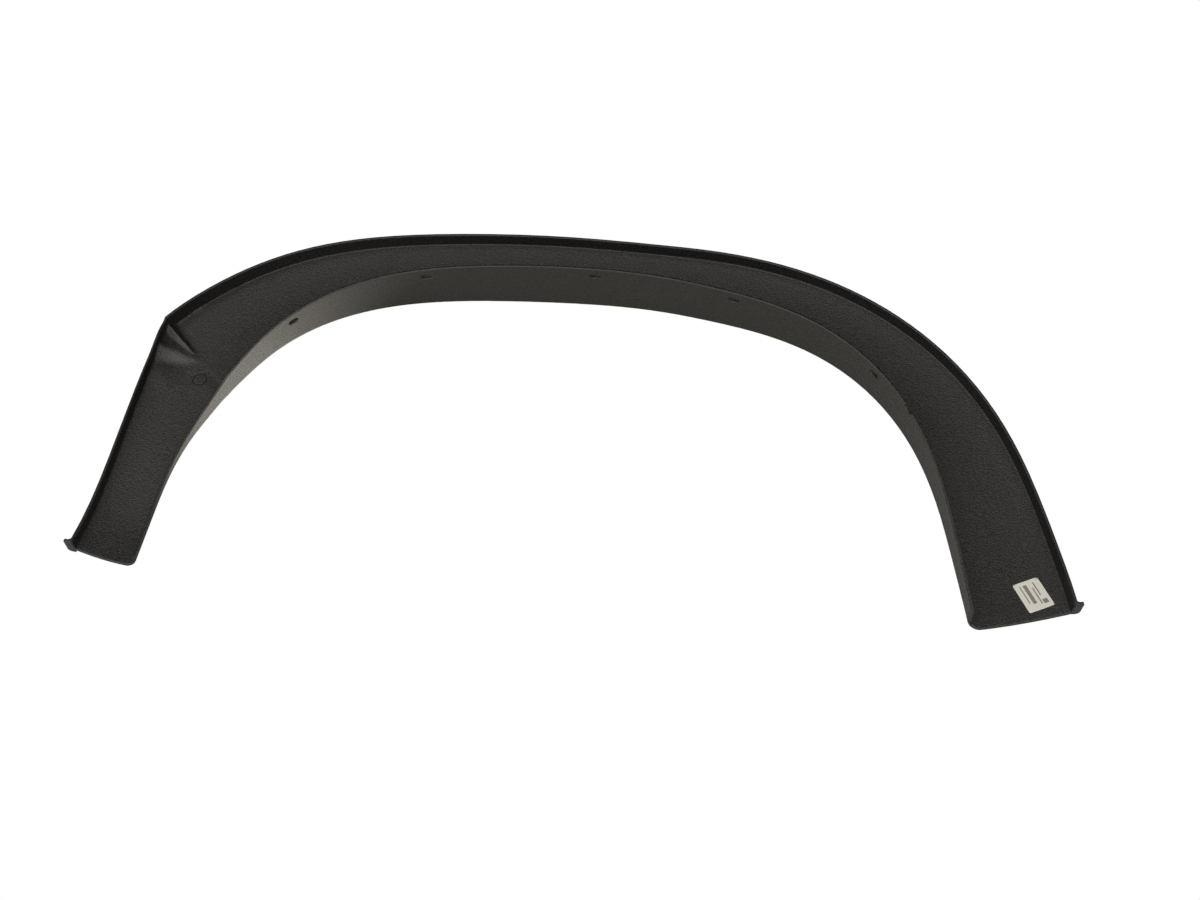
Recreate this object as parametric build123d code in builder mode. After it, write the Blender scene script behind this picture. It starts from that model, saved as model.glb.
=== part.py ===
"""Wheel arch trim molding: one moulded plastic channel round a car's wheel opening.

Millimetres. X runs along the car, Y from the leg ends up to the crown of the arch, and Z from the
show face, on which the molding lies, up to its open, hollow back. The origin is the middle of the
molding's outline, at its lowest level. Every cross-section is the same channel: a return flange
round the wheel opening, a crowned face and an outer lip.
"""
import os
from math import atan, cos, radians, sin, tan

from build123d import *

# The channel section
wall = 3.0
flange_bend = 5.0
lip_bend = 5.0
root_chamfer = 3.0
draft = 2.5
crown_angle = 7.0

# Flange height above the lowest line of the face, from the left leg's end to the right leg's end
flange_left_end = 12.0
flange_shoulder = 36.0
flange_crown = 73.0
flange_right_end = 30.0
flange_taper = 1.8
leg_taper = 4.0

# Lip height above the face: along the left leg, at the shoulder, at the crown and at the right end
lip_leg = 12.0
lip_shoulder = 19.0
lip_crown = 14.0
lip_right_end = 16.0

# The left leg's face stands higher along its lip, up to a share of the leg short of the shoulder
leg_step = 6.0
leg_step_share = 0.84
leg_step_run = 0.07

# The leg ends turn in over a share of the leg or of the arch
end_turn = 6.0
leg_turn_share = 0.35
arch_turn_share = 0.12

# Plan of the wheel opening and of the outer edge, which has a corner at the left shoulder
opening_points = [
    (-463, -242), (-461, -160), (-447, -78), (-419, -11), (-347, 91), (-258, 140), (-113, 162),
    (34, 162), (181, 138), (276, 98), (365, -1), (404, -124), (421, -261),
]
shoulder_corner = (-508, 93)
arch_edge_points = [
    shoulder_corner, (-455, 154), (-368, 213), (-223, 251), (-48, 260), (129, 250),
    (277, 213), (371, 154), (458, 47), (507, -88), (532, -233),
]
leg_edge_points = [(-532, -227), (-523, -110), (-514, 40), shoulder_corner]
shoulder_share = 0.18
crown_share = 0.36

# Raised dart on the hollow side of the shoulder, sunk into the show face by the same amount
dart_reach = 70.0
dart_leg_run = 31.0
dart_arch_run = 9.0
dart_rise = 10.7
dart_root = 2.2
dart_stretch = 1.4
dart_sink = 1.6

# Slots through the flange for clips, a set distance below its free edge, and a notch in that edge
slot_length = 13.0
slot_width = 7.0
slot_inset = 12.0
slot_shares = [0.09, 0.235, 0.41, 0.555, 0.72]
notch_share = 0.775
notch_inset = 1.0

# Tabs that turn outwards at the two ends of the lip
tab_reach = 7.0
tab_thickness = 3.5
tab_fillet = 4.0
tab_height = 20.0
tab_corner = 5.0

# Rounded corners of the flange at the left and the right end
flange_corner_left = 3.5
flange_corner_right = 9.0

# Shallow moulded ring on the left leg's hollow side
ring_centre = (-455, 20)
ring_diameter = 17.0
ring_line = 0.9
ring_depth = 0.4

# Paper label on the right leg's hollow side
label_centre = (494, -212)
label_width = 29.5
label_length = 37.0
label_corner = 2.0
label_turn = 23.0
label_thickness = 0.2
label_glue = 0.25

leg_stations = [0, 0.1, 0.2, 0.35, 0.5, 0.65, 0.76, 0.84, 0.875, 0.91, 0.95, 1]
arch_stations = [0, 0.04, 0.08, 0.13, 0.2, 0.3, 0.4, 0.5, 0.6, 0.68, 0.75, 0.82, 0.88, 0.94, 1]
up = Vector(0, 0, 1)

with BuildLine() as plan:
    opening = Spline(*opening_points)
    arch_edge = Spline(*arch_edge_points)
    leg_edge = Spline(*leg_edge_points)


def leg_station(share):
    """Plan points of the opening and the edge, flange, lip, step and lift, at a share of the left leg."""
    flange = flange_left_end + (flange_shoulder - flange_left_end) * share**leg_taper
    stepped = min(1, max(0, (leg_step_share + leg_step_run - share) / leg_step_run))
    stepped = stepped**2 * (3 - 2 * stepped)
    lip = lip_shoulder + (lip_leg - lip_shoulder) * stepped
    lift = end_turn * max(0, 1 - share / leg_turn_share) ** 2
    return opening @ (shoulder_share * share), leg_edge @ share, flange, lip, leg_step * stepped, lift


def opening_share(share):
    """Share of the whole opening that faces a share of the arch."""
    return shoulder_share + (1 - shoulder_share) * share


def arch_station(share):
    """The same values at a share of the way from the left shoulder to the right leg's end."""
    if share < crown_share:
        away = 1 - share / crown_share
        flange_end, lip_end = flange_shoulder, lip_shoulder
    else:
        away = (share - crown_share) / (1 - crown_share)
        flange_end, lip_end = flange_right_end, lip_right_end
    flange = flange_crown - (flange_crown - flange_end) * away**flange_taper
    lip = lip_crown + (lip_end - lip_crown) * away
    lift = end_turn * max(0, 1 - (1 - share) / arch_turn_share) ** 2
    return opening @ opening_share(share), arch_edge @ share, flange, lip, 0, lift


def crowned_face(width, step):
    """Bend radius of the face, depth of the bend's middle point, and heights of the face's two edges."""
    half = width / 2
    inner_angle = radians(crown_angle)
    outer_angle = atan(tan(inner_angle) + step / half)
    run = half - flange_bend - wall
    bend = run / tan((inner_angle + outer_angle) / 2)
    depth = run * sin(inner_angle) - bend * (1 - cos(inner_angle))
    return bend, depth, half * tan(inner_angle) - depth, half * tan(outer_angle) - depth


def channel_section(inner, outer, flange, lip, step, lift):
    """Channel section on the upright plane through an inner and an outer plan point."""
    across = outer - inner
    width = across.length
    lean = tan(radians(draft))
    bend, depth, inner_edge, outer_edge = crowned_face(width, step)
    flange_root, lip_root = Vector(0, inner_edge), Vector(width, outer_edge)
    with BuildSketch(Plane(inner + lift * up, x_dir=across, z_dir=across.cross(up))) as section:
        with BuildLine():
            FilletPolyline(
                (-lean * (flange - inner_edge), flange),
                flange_root,
                (width / 2, -depth),
                lip_root,
                (width + lean * (wall + lip), outer_edge + wall + lip),
                radius=(0, bend, 0),
            )
            offset(amount=wall, side=Side.LEFT, kind=Kind.INTERSECTION)
        make_face()
        for root, radius in [(flange_root, flange_bend), (lip_root, lip_bend)]:
            outside, inside = section.vertices().sort_by_distance(root)[:2]
            fillet(outside, radius=radius)
            chamfer(inside, length=root_chamfer)
    return section.sketch


def dart_half(foot_outer, stretch, drop, sink):
    """Pyramid between the shoulder's corner, its inner tip and a foot on the edge, lowered by a drop,
    stretched from the tip, and with its base sunk away from its peak."""
    inner, outer, *_ = leg_station(1)
    width = (outer - inner).length
    inwards = (inner - outer).normalized()
    root = wall - dart_root - drop
    edge = root + crowned_face(width, 0)[3]
    tip = outer + inwards * dart_reach + (root + (edge - root) * (1 - 2 * dart_reach / width) ** 2) * up
    corner = outer + inwards * wall / 2 + edge * up
    foot = foot_outer + inwards * wall / 2 + edge * up
    peak = corner + dart_rise * up
    corner, foot, peak = (tip + (point - tip) * stretch for point in (corner, foot, peak))
    tip, corner, foot = (peak + (point - peak) * sink for point in (tip, corner, foot))
    side = Plane(tip, x_dir=corner - tip, z_dir=(corner - tip).cross(foot - tip))
    with BuildPart() as pyramid:
        with BuildSketch(side) as base:
            with BuildLine():
                Polyline(*[side.to_local_coords(point) for point in (tip, corner, foot)], close=True)
            make_face()
        loft([base.sketch, Vertex(*peak)])
    return pyramid.part


def hollow_plane(body, spot, turn):
    """Plane on the hollow side at a plan spot, square to the face there and turned about its normal."""
    seat, normal = body.find_intersection_points(Axis((*spot, flange_crown), (0, 0, -1)))[0]
    return Plane(seat, x_dir=(1, 0, 0), z_dir=normal).rotated((0, 0, turn))


os.makedirs("parts", exist_ok=True)

with BuildPart() as arch_molding:
    # The left leg and the arch meet in one section, at the corner of the shoulder
    for share in leg_stations:
        add(channel_section(*leg_station(share)))
    loft()
    for share in arch_stations:
        add(channel_section(*arch_station(share)))
    loft()

    # The shoulder's dart stands up on the hollow side and leaves the same hollow in the show face
    dart_feet = [leg_edge @ (1 - dart_leg_run / leg_edge.length), arch_edge @ (dart_arch_run / arch_edge.length)]
    for foot in dart_feet:
        add(dart_half(foot, 1, 0, 1))
    for foot in dart_feet:
        add(dart_half(foot, dart_stretch, wall, dart_sink), mode=Mode.SUBTRACT)

    # Clip slots and the edge notch, square to the flange
    for share, inset in [(share, slot_inset) for share in slot_shares] + [(notch_share, notch_inset)]:
        inner, outer, flange, lip, step, lift = arch_station(share)
        along = opening % opening_share(share)
        with BuildSketch(Plane(inner + (flange - inset + lift) * up, x_dir=along, z_dir=along.cross(up))):
            SlotOverall(slot_length, slot_width)
        extrude(amount=flange_bend + wall, both=True, mode=Mode.SUBTRACT)

    # Outward tabs at the ends of the lip, each with a fillet on the side of the arch
    for station, edge, end, side in [(leg_station(0), leg_edge, 0, -1), (arch_station(1), arch_edge, 1, 1)]:
        inner, outer, flange, lip, step, lift = station
        top = lift + crowned_face((outer - inner).length, step)[3] + wall + lip
        outwards = (edge % end).cross(up) * -1
        with BuildSketch(Plane(outer + (top - tab_height) * up, x_dir=outwards, z_dir=up)):
            with BuildLine():
                Polyline((-wall / 2, 0), (tab_reach, 0), (tab_reach, side * tab_thickness),
                         (tab_fillet, side * tab_thickness))
                RadiusArc((tab_fillet, side * tab_thickness), (0, side * (tab_thickness + tab_fillet)),
                          side * tab_fillet)
                Polyline((0, side * (tab_thickness + tab_fillet)),
                         (-wall / 2, side * (tab_thickness + tab_fillet)), (-wall / 2, 0))
            make_face()
        extrude(amount=tab_height)
        tab_foot = outer + outwards * tab_reach + (top - tab_height) * up - edge % end * side * tab_thickness / 2
        fillet(edges().sort_by_distance(tab_foot)[0], radius=tab_corner)

    # The flange's free edge runs round into the leg ends
    for station, radius in [(leg_station(0), flange_corner_left), (arch_station(1), flange_corner_right)]:
        inner, outer, flange, lip, step, lift = station
        fillet(edges().sort_by_distance(inner + (flange + lift) * up)[0], radius=radius)

    # Ring in the hollow side of the leg
    with BuildSketch(hollow_plane(arch_molding.part, ring_centre, 0)):
        Circle(ring_diameter / 2)
        Circle(ring_diameter / 2 - ring_line, mode=Mode.SUBTRACT)
    extrude(amount=ring_depth, both=True, mode=Mode.SUBTRACT)

    label_plane = hollow_plane(arch_molding.part, label_centre, label_turn)

# The label is a patch of the face under it, lifted by its glue and its own thickness
with BuildPart() as patch:
    with BuildSketch(label_plane):
        RectangleRounded(label_width, label_length, label_corner)
    extrude(amount=wall, both=True)
    add(arch_molding.part, mode=Mode.INTERSECT)

with BuildPart() as label:
    add(patch.part.moved(Location(label_plane.z_dir * (label_glue + label_thickness))))
    add(patch.part.moved(Location(label_plane.z_dir * label_glue)), mode=Mode.SUBTRACT)

arch_molding.part.label = "arch_molding"
label.part.label = "label"
export_step(arch_molding.part, "parts/arch_molding.step")
export_step(label.part, "parts/label.step")
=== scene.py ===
"""Looks of a wheel arch trim molding that lies on its show face, hollow side up, on a white table."""

import math

import bmesh
import bpy
from mathutils import Matrix, Vector


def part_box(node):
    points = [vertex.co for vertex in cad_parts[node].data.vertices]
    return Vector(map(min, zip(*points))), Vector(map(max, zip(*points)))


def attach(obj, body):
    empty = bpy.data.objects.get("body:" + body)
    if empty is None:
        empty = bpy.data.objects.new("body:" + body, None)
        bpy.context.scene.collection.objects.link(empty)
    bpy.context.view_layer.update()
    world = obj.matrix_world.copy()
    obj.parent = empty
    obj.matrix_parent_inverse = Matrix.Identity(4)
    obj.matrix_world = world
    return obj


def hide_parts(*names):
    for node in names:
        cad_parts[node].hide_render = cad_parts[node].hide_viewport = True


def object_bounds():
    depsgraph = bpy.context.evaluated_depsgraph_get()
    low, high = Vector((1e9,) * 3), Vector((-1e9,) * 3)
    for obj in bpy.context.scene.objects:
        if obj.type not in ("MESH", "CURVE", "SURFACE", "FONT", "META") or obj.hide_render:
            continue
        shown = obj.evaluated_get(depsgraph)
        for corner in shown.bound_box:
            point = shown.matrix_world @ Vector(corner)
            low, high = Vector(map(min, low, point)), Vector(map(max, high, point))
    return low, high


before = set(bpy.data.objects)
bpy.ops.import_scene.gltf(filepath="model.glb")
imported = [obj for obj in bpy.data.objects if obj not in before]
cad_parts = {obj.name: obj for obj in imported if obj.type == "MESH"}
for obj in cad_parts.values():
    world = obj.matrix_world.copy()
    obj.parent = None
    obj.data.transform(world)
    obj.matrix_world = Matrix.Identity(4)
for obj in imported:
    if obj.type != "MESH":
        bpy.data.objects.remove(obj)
frame_low, frame_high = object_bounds()
scene = bpy.context.scene
scene.view_settings.view_transform = "Standard"


# The molding is one channel, moulded in grained black plastic and held by clips
# through the slots in its flange. It is the CAD solid with its loose triangles
# joined, so that long bends shade smooth and only true corners stay sharp.
merge_reach = 2e-6
cut_snap = 1e-7
mesh = bpy.data.meshes.new("molding")
shape = bmesh.new()
shape.from_mesh(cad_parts["arch_molding"].data)
bmesh.ops.remove_doubles(shape, verts=shape.verts, dist=merge_reach)

# Both legs' inner end corners are rounded in plan: planes round each arc cut
# the corner away, and each cut is closed again. The planes reach no further
# up the leg than its end slice.
arc_cuts = 6
end_slice = 0.045
left_end = (Vector((-0.463, -0.242, 0)), Vector((0, 1, 0)), Vector((-0.977, 0.212, 0)), 0.009)
right_end = (Vector((0.421, -0.261, 0)), Vector((-0.11, 0.994, 0)), Vector((0.97, 0.245, 0)), 0.013)


def with_corners(faces):
    """The faces with their vertices and edges, each once."""
    return list(dict.fromkeys(part for face in faces for part in (*face.verts, *face.edges, face)))


for corner, along, across, corner_radius in (left_end, right_end):
    half_turn = along.angle(across) / 2
    centre = corner + (along + across).normalized() * corner_radius / math.sin(half_turn)
    first = (along * across.dot(along) - across).normalized()
    last = (across * along.dot(across) - along).normalized()
    slice_point = corner + Vector((0, end_slice, 0))
    leg = [face for face in shape.faces if face.calc_center_median().x * corner.x > 0]
    bmesh.ops.bisect_plane(shape, geom=with_corners(leg), dist=cut_snap,
                           plane_co=slice_point, plane_no=(0, 1, 0))
    for step in range(1, arc_cuts):
        outwards = first.slerp(last, step / arc_cuts)
        leg = [face for face in shape.faces if face.calc_center_median().x * corner.x > 0]
        end = [face for face in leg if face.calc_center_median().y < slice_point.y]
        cut = bmesh.ops.bisect_plane(shape, geom=with_corners(end), dist=cut_snap,
                                     plane_co=centre + outwards * corner_radius,
                                     plane_no=outwards, clear_outer=True)
        cut_edges = [part for part in cut["geom_cut"] if isinstance(part, bmesh.types.BMEdge)]
        bmesh.ops.triangle_fill(shape, use_beauty=True, edges=cut_edges)

# The dart at the left shoulder is a fan of soft ridges that run from its tip
# to the lip. First its triangles are made fine.
shoulder_corner = Vector((-0.508, 0.093))
leg_heading = Vector((-0.006, -0.053)).normalized()
dart_tip = Vector((-0.458, 0.047))
dart_middle = Vector((-0.489, 0.07))
dart_area = 0.068
fine_edge = 0.003
fine_passes = 7
thin_edge = 1e-5
for fine_pass in range(fine_passes):
    coarse = [edge for edge in shape.edges if edge.calc_length() > fine_edge and
              ((edge.verts[0].co + edge.verts[1].co).xy / 2 - dart_middle).length < dart_area]
    bmesh.ops.subdivide_edges(shape, edges=coarse, cuts=1)
    bmesh.ops.triangulate(shape, faces=[face for face in shape.faces if len(face.verts) > 3])
    bmesh.ops.dissolve_degenerate(shape, dist=thin_edge, edges=shape.edges)
    bmesh.ops.triangulate(shape, faces=[face for face in shape.faces if len(face.verts) > 3])


def rise_at(run, profile):
    """Height of the dart above the face at a run along the leg's edge, between the profile's points."""
    for (low, low_rise), (high, high_rise) in zip(profile, profile[1:]):
        if low <= run <= high:
            return low_rise + (high_rise - low_rise) * (run - low) / (high - low)
    return 0


# Then the solid's one ridge becomes two, with a valley between them. A profile
# is the dart's rise at runs down the leg. The lip's rim keeps its height.
solid_profile = [(0, 0.0107), (0.031, 0)]
soft_profile = [(0, 0.0138), (0.0105, 0.007), (0.034, 0.0108), (0.056, 0)]
dart_run = 0.06
lip_root_share = 0.94
lip_fade = 0.012
rim_near = 0.008
rim_margin = 0.001
least_cross = 1e-6
dart_foot = shoulder_corner + leg_heading * dart_run
corner_rim, foot_rim = (
    max(vert.co.z for vert in shape.verts if (vert.co.xy - spot).length < rim_near)
    for spot in (shoulder_corner, dart_foot)
)
to_corner = shoulder_corner - dart_tip
for vert in shape.verts:
    spoke = vert.co.xy - dart_tip
    if (vert.co.xy - dart_middle).length > dart_area or abs(leg_heading.cross(spoke)) < least_cross:
        continue
    run = -to_corner.cross(spoke) / leg_heading.cross(spoke)
    reach = spoke.cross(leg_heading) / to_corner.cross(leg_heading)
    if reach > 0 and 0 < run < dart_run:
        change = rise_at(run, soft_profile) - rise_at(run, solid_profile)
        rim = corner_rim + (foot_rim - corner_rim) * run / dart_run
        held = min(max((rim - rim_margin - vert.co.z) / lip_fade, 0), 1)
        vert.co.z += change * min(reach / lip_root_share, 1) * held

# Last, what lies flat below the lip's rim is smoothed.
flat_lean = 0.6
rim_band = 0.005
smooth_passes = 8
soft = [vert for vert in shape.verts if (vert.co.xy - dart_middle).length < dart_area - 2 * fine_edge
        and abs(vert.normal.z) > flat_lean and vert.co.z < foot_rim - rim_band]
for smooth_pass in range(smooth_passes):
    bmesh.ops.smooth_vert(shape, verts=soft, factor=0.5, use_axis_x=True, use_axis_y=True, use_axis_z=True)
shape.normal_update()

# The left leg's end turns up a little more than the solid's.
leg_inside = -0.4
turn_start = -0.16
turn_length = 0.08
turn_rise = 0.0035
for vert in shape.verts:
    if vert.co.x < leg_inside and vert.co.y < turn_start:
        vert.co.z += turn_rise * ((turn_start - vert.co.y) / turn_length) ** 2

# The shallow ring on the left leg is too narrow for light to reach its floor.
# Its groove faces get a near-black material there, as painted shade.
ring_centre = Vector((-0.455, 0.02))
ring_inside = 0.00755
ring_outside = 0.00855
show_side_lean = -0.3
corner_angle = math.radians(38)
for face in shape.faces:
    face.smooth = True
    off_ring = (face.calc_center_median().xy - ring_centre).length
    face.material_index = int(ring_inside < off_ring < ring_outside and face.normal.z > show_side_lean)
for edge in shape.edges:
    edge.smooth = len(edge.link_faces) == 2 and edge.calc_face_angle(0) < corner_angle
shape.to_mesh(mesh)
shape.free()
molding = bpy.data.objects.new("molding", mesh)
scene.collection.objects.link(molding)
weighted = molding.modifiers.new("even_normals", "WEIGHTED_NORMAL")
weighted.keep_sharp = True

# The plastic's grain shows in its colour and its surface, and its sharp edges
# catch light as moulded edges do.
plastic = bpy.data.materials.new("grained_black_plastic")
plastic.use_nodes = True
nodes, links = plastic.node_tree.nodes, plastic.node_tree.links
shader = nodes["Principled BSDF"]
shader.inputs["Roughness"].default_value = 0.4
shader.inputs["Specular IOR Level"].default_value = 0.5
place = nodes.new("ShaderNodeTexCoord")
grain = nodes.new("ShaderNodeTexNoise")
grain.inputs["Scale"].default_value = 480
grain.inputs["Detail"].default_value = 3
grain.inputs["Roughness"].default_value = 0.6
links.new(place.outputs["Object"], grain.inputs["Vector"])
pores = nodes.new("ShaderNodeMapRange")
pores.inputs["From Min"].default_value = 0.32
pores.inputs["From Max"].default_value = 0.68
links.new(grain.outputs["Fac"], pores.inputs["Value"])
tint = nodes.new("ShaderNodeMix")
tint.data_type = "RGBA"
tint.inputs["A"].default_value = (0.001, 0.001, 0.0009, 1)
tint.inputs["B"].default_value = (0.021, 0.02, 0.0182, 1)
links.new(pores.outputs["Result"], tint.inputs["Factor"])
links.new(tint.outputs["Result"], shader.inputs["Base Color"])
bump = nodes.new("ShaderNodeBump")
bump.inputs["Strength"].default_value = 1.0
bump.inputs["Distance"].default_value = 0.0008
links.new(grain.outputs["Fac"], bump.inputs["Height"])
rounded = nodes.new("ShaderNodeBevel")
rounded.samples = 8
rounded.inputs["Radius"].default_value = 0.003
links.new(rounded.outputs["Normal"], bump.inputs["Normal"])
links.new(bump.outputs["Normal"], shader.inputs["Normal"])
molding.data.materials.append(plastic)

# Painted shade: a near-black material for the ring's groove, darker than the plastic itself.
painted_ring_shade = bpy.data.materials.new("painted_groove_shade")
painted_ring_shade.use_nodes = True
shader = painted_ring_shade.node_tree.nodes["Principled BSDF"]
shader.inputs["Base Color"].default_value = (0.003, 0.003, 0.003, 1)
shader.inputs["Roughness"].default_value = 0.8
shader.inputs["Specular IOR Level"].default_value = 0.1
molding.data.materials.append(painted_ring_shade)
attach(molding, "root")
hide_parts("arch_molding")


# The stock label is a sheet of off-white paper, stuck to the right leg. Its
# print is plain grey bars, each given by its place across and along the label,
# its width and its length.
label_turn = math.radians(23)
bars = [
    (-0.003, 0.002, 0.0042, 0.024),
    (0.0085, -0.0105, 0.0055, 0.0055),
    (-0.0085, 0.003, 0.0012, 0.022),
    (0.0035, -0.002, 0.0014, 0.021),
    (0.007, 0.006, 0.0014, 0.017),
]
top_lean = 0.5
label_low, label_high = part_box("label")
label_middle = (label_low + label_high) / 2
across = Vector((math.cos(label_turn), math.sin(label_turn), 0))
along = Vector((-math.sin(label_turn), math.cos(label_turn), 0))
mesh = bpy.data.meshes.new("stock_label")
sheet = bmesh.new()
sheet.from_mesh(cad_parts["label"].data)
bmesh.ops.remove_doubles(sheet, verts=sheet.verts, dist=merge_reach)
for bar_x, bar_y, bar_width, bar_length in bars:
    centre = label_middle + across * bar_x + along * bar_y
    for direction, size in ((across, bar_width), (along, bar_length)):
        for side in (-0.5, 0.5):
            geometry = sheet.verts[:] + sheet.edges[:] + sheet.faces[:]
            bmesh.ops.bisect_plane(sheet, geom=geometry, dist=cut_snap,
                                   plane_co=centre + direction * size * side, plane_no=direction)
for face in sheet.faces:
    spot = face.calc_center_median() - label_middle
    for bar_x, bar_y, bar_width, bar_length in bars:
        off_x = abs(spot.dot(across) - bar_x)
        off_y = abs(spot.dot(along) - bar_y)
        if face.normal.z > top_lean and off_x < bar_width / 2 and off_y < bar_length / 2:
            face.material_index = 1
sheet.to_mesh(mesh)
sheet.free()
label = bpy.data.objects.new("stock_label", mesh)
scene.collection.objects.link(label)
for name, colour in (("label_paper", (0.52, 0.5, 0.45, 1)), ("grey_print", (0.16, 0.15, 0.14, 1))):
    paper = bpy.data.materials.new(name)
    paper.use_nodes = True
    shader = paper.node_tree.nodes["Principled BSDF"]
    shader.inputs["Base Color"].default_value = colour
    shader.inputs["Roughness"].default_value = 0.6
    label.data.materials.append(paper)
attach(label, "root")
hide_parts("label")


# The table gives its bounce light to the molding, and the camera sees it as
# plain white. Near the left flange, glossy rays also see a warm glowing patch on
# it: a painted pool of light that the flange shows as a painted reflection.
table_size = 12
table_gap = 0.0005
bpy.ops.mesh.primitive_plane_add(size=table_size, location=(0, 0, frame_low.z - table_gap))
table = bpy.context.object
table.name = "table"
cloth = bpy.data.materials.new("white_table")
cloth.use_nodes = True
nodes, links = cloth.node_tree.nodes, cloth.node_tree.links
shader = nodes["Principled BSDF"]
shader.inputs["Base Color"].default_value = (0.42, 0.405, 0.38, 1)
shader.inputs["Roughness"].default_value = 0.9
seen = nodes.new("ShaderNodeLightPath")
white = nodes.new("ShaderNodeEmission")
white.inputs["Color"].default_value = (1, 1, 1, 1)
mix = nodes.new("ShaderNodeMixShader")
links.new(seen.outputs["Is Camera Ray"], mix.inputs["Fac"])
links.new(white.outputs["Emission"], mix.inputs[2])
links.new(mix.outputs["Shader"], nodes["Material Output"].inputs["Surface"])
spot = nodes.new("ShaderNodeTexCoord")
shift = nodes.new("ShaderNodeMapping")
shift.inputs["Location"].default_value = (0.36, 0.0, 0)
links.new(spot.outputs["Object"], shift.inputs["Vector"])
far = nodes.new("ShaderNodeVectorMath")
far.operation = "LENGTH"
links.new(shift.outputs["Vector"], far.inputs[0])
fade = nodes.new("ShaderNodeMapRange")
fade.interpolation_type = "SMOOTHSTEP"
fade.inputs["From Min"].default_value = 0.2
fade.inputs["From Max"].default_value = 0.04
fade.inputs["To Max"].default_value = 2.2
links.new(far.outputs["Value"], fade.inputs["Value"])
# The patch's glow is painted light, not a lamp: it reaches glossy rays only.
painted_glow = nodes.new("ShaderNodeEmission")
painted_glow.inputs["Color"].default_value = (1, 0.94, 0.84, 1)
links.new(fade.outputs["Result"], painted_glow.inputs["Strength"])
table_with_painted_glow = nodes.new("ShaderNodeAddShader")
links.new(shader.outputs["BSDF"], table_with_painted_glow.inputs[0])
links.new(painted_glow.outputs["Emission"], table_with_painted_glow.inputs[1])
mirrored = nodes.new("ShaderNodeMixShader")
links.new(seen.outputs["Is Glossy Ray"], mirrored.inputs["Fac"])
links.new(shader.outputs["BSDF"], mirrored.inputs[1])
links.new(table_with_painted_glow.outputs["Shader"], mirrored.inputs[2])
links.new(mirrored.outputs["Shader"], mix.inputs[1])
table.data.materials.append(cloth)


# The room is bright overhead, towards the front and the left, and dark low
# behind the arch. The camera sees plain white where it looks past the table.
world = bpy.data.worlds.new("room")
scene.world = world
world.use_nodes = True
nodes, links = world.node_tree.nodes, world.node_tree.links
room = nodes["Background"]
room.inputs["Color"].default_value = (1.0, 0.98, 0.94, 1)
sky = nodes.new("ShaderNodeTexCoord")
height = nodes.new("ShaderNodeVectorMath")
height.operation = "DOT_PRODUCT"
height.inputs[1].default_value = (-0.24, -0.46, 0.855)
links.new(sky.outputs["Generated"], height.inputs[0])
ceiling = nodes.new("ShaderNodeMapRange")
ceiling.interpolation_type = "SMOOTHSTEP"
ceiling.inputs["From Min"].default_value = 0.26
ceiling.inputs["From Max"].default_value = 0.92
ceiling.inputs["To Min"].default_value = 0.02
ceiling.inputs["To Max"].default_value = 1.9
links.new(height.outputs["Value"], ceiling.inputs["Value"])
links.new(ceiling.outputs["Result"], room.inputs["Strength"])
bright = nodes.new("ShaderNodeBackground")
bright.inputs["Color"].default_value = (1, 1, 1, 1)
path = nodes.new("ShaderNodeLightPath")
mix = nodes.new("ShaderNodeMixShader")
links.new(path.outputs["Is Camera Ray"], mix.inputs["Fac"])
links.new(room.outputs["Background"], mix.inputs[1])
links.new(bright.outputs["Background"], mix.inputs[2])
links.new(mix.outputs["Shader"], nodes["World Output"].inputs["Surface"])


# A low soft lamp on the right lights the table and the flange of the left
# shoulder. A second one hangs high in front of the left leg.
lamp_distance = 2.4
lamp_size = 1.2
for name, azimuth, elevation, energy in (
    ("low_right", 0, 15, 12),
    ("high_left", 225, 62, 6),
):
    lamp_data = bpy.data.lights.new(name, "AREA")
    lamp_data.energy = energy
    lamp_data.size = lamp_size
    lamp_data.color = (1, 0.98, 0.94)
    lamp = bpy.data.objects.new(name, lamp_data)
    scene.collection.objects.link(lamp)
    around, up = math.radians(azimuth), math.radians(elevation)
    heading = Vector((math.cos(around) * math.cos(up), math.sin(around) * math.cos(up), math.sin(up)))
    lamp.location = heading * lamp_distance
    lamp.rotation_mode = "QUATERNION"
    lamp.rotation_quaternion = heading.to_track_quat("Z", "Y")


# The camera looks down from the side of the leg ends. Its place and its three
# axes come from the molding's outline in the picture.
camera_data = bpy.data.cameras.new("camera")
camera_data.sensor_width = 36
camera_data.lens = 42
camera = bpy.data.objects.new("camera", camera_data)
scene.collection.objects.link(camera)
right = Vector((0.9979, 0.0645, 0))
above = Vector((-0.0529, 0.8174, 0.5736))
back = Vector((0.037, -0.5724, 0.8192))
camera_place = (0.08268, -0.96458, 1.31064)
turn = Matrix((right, above, back)).transposed().to_4x4()
camera.matrix_world = Matrix.Translation(camera_place) @ turn
scene.camera = camera
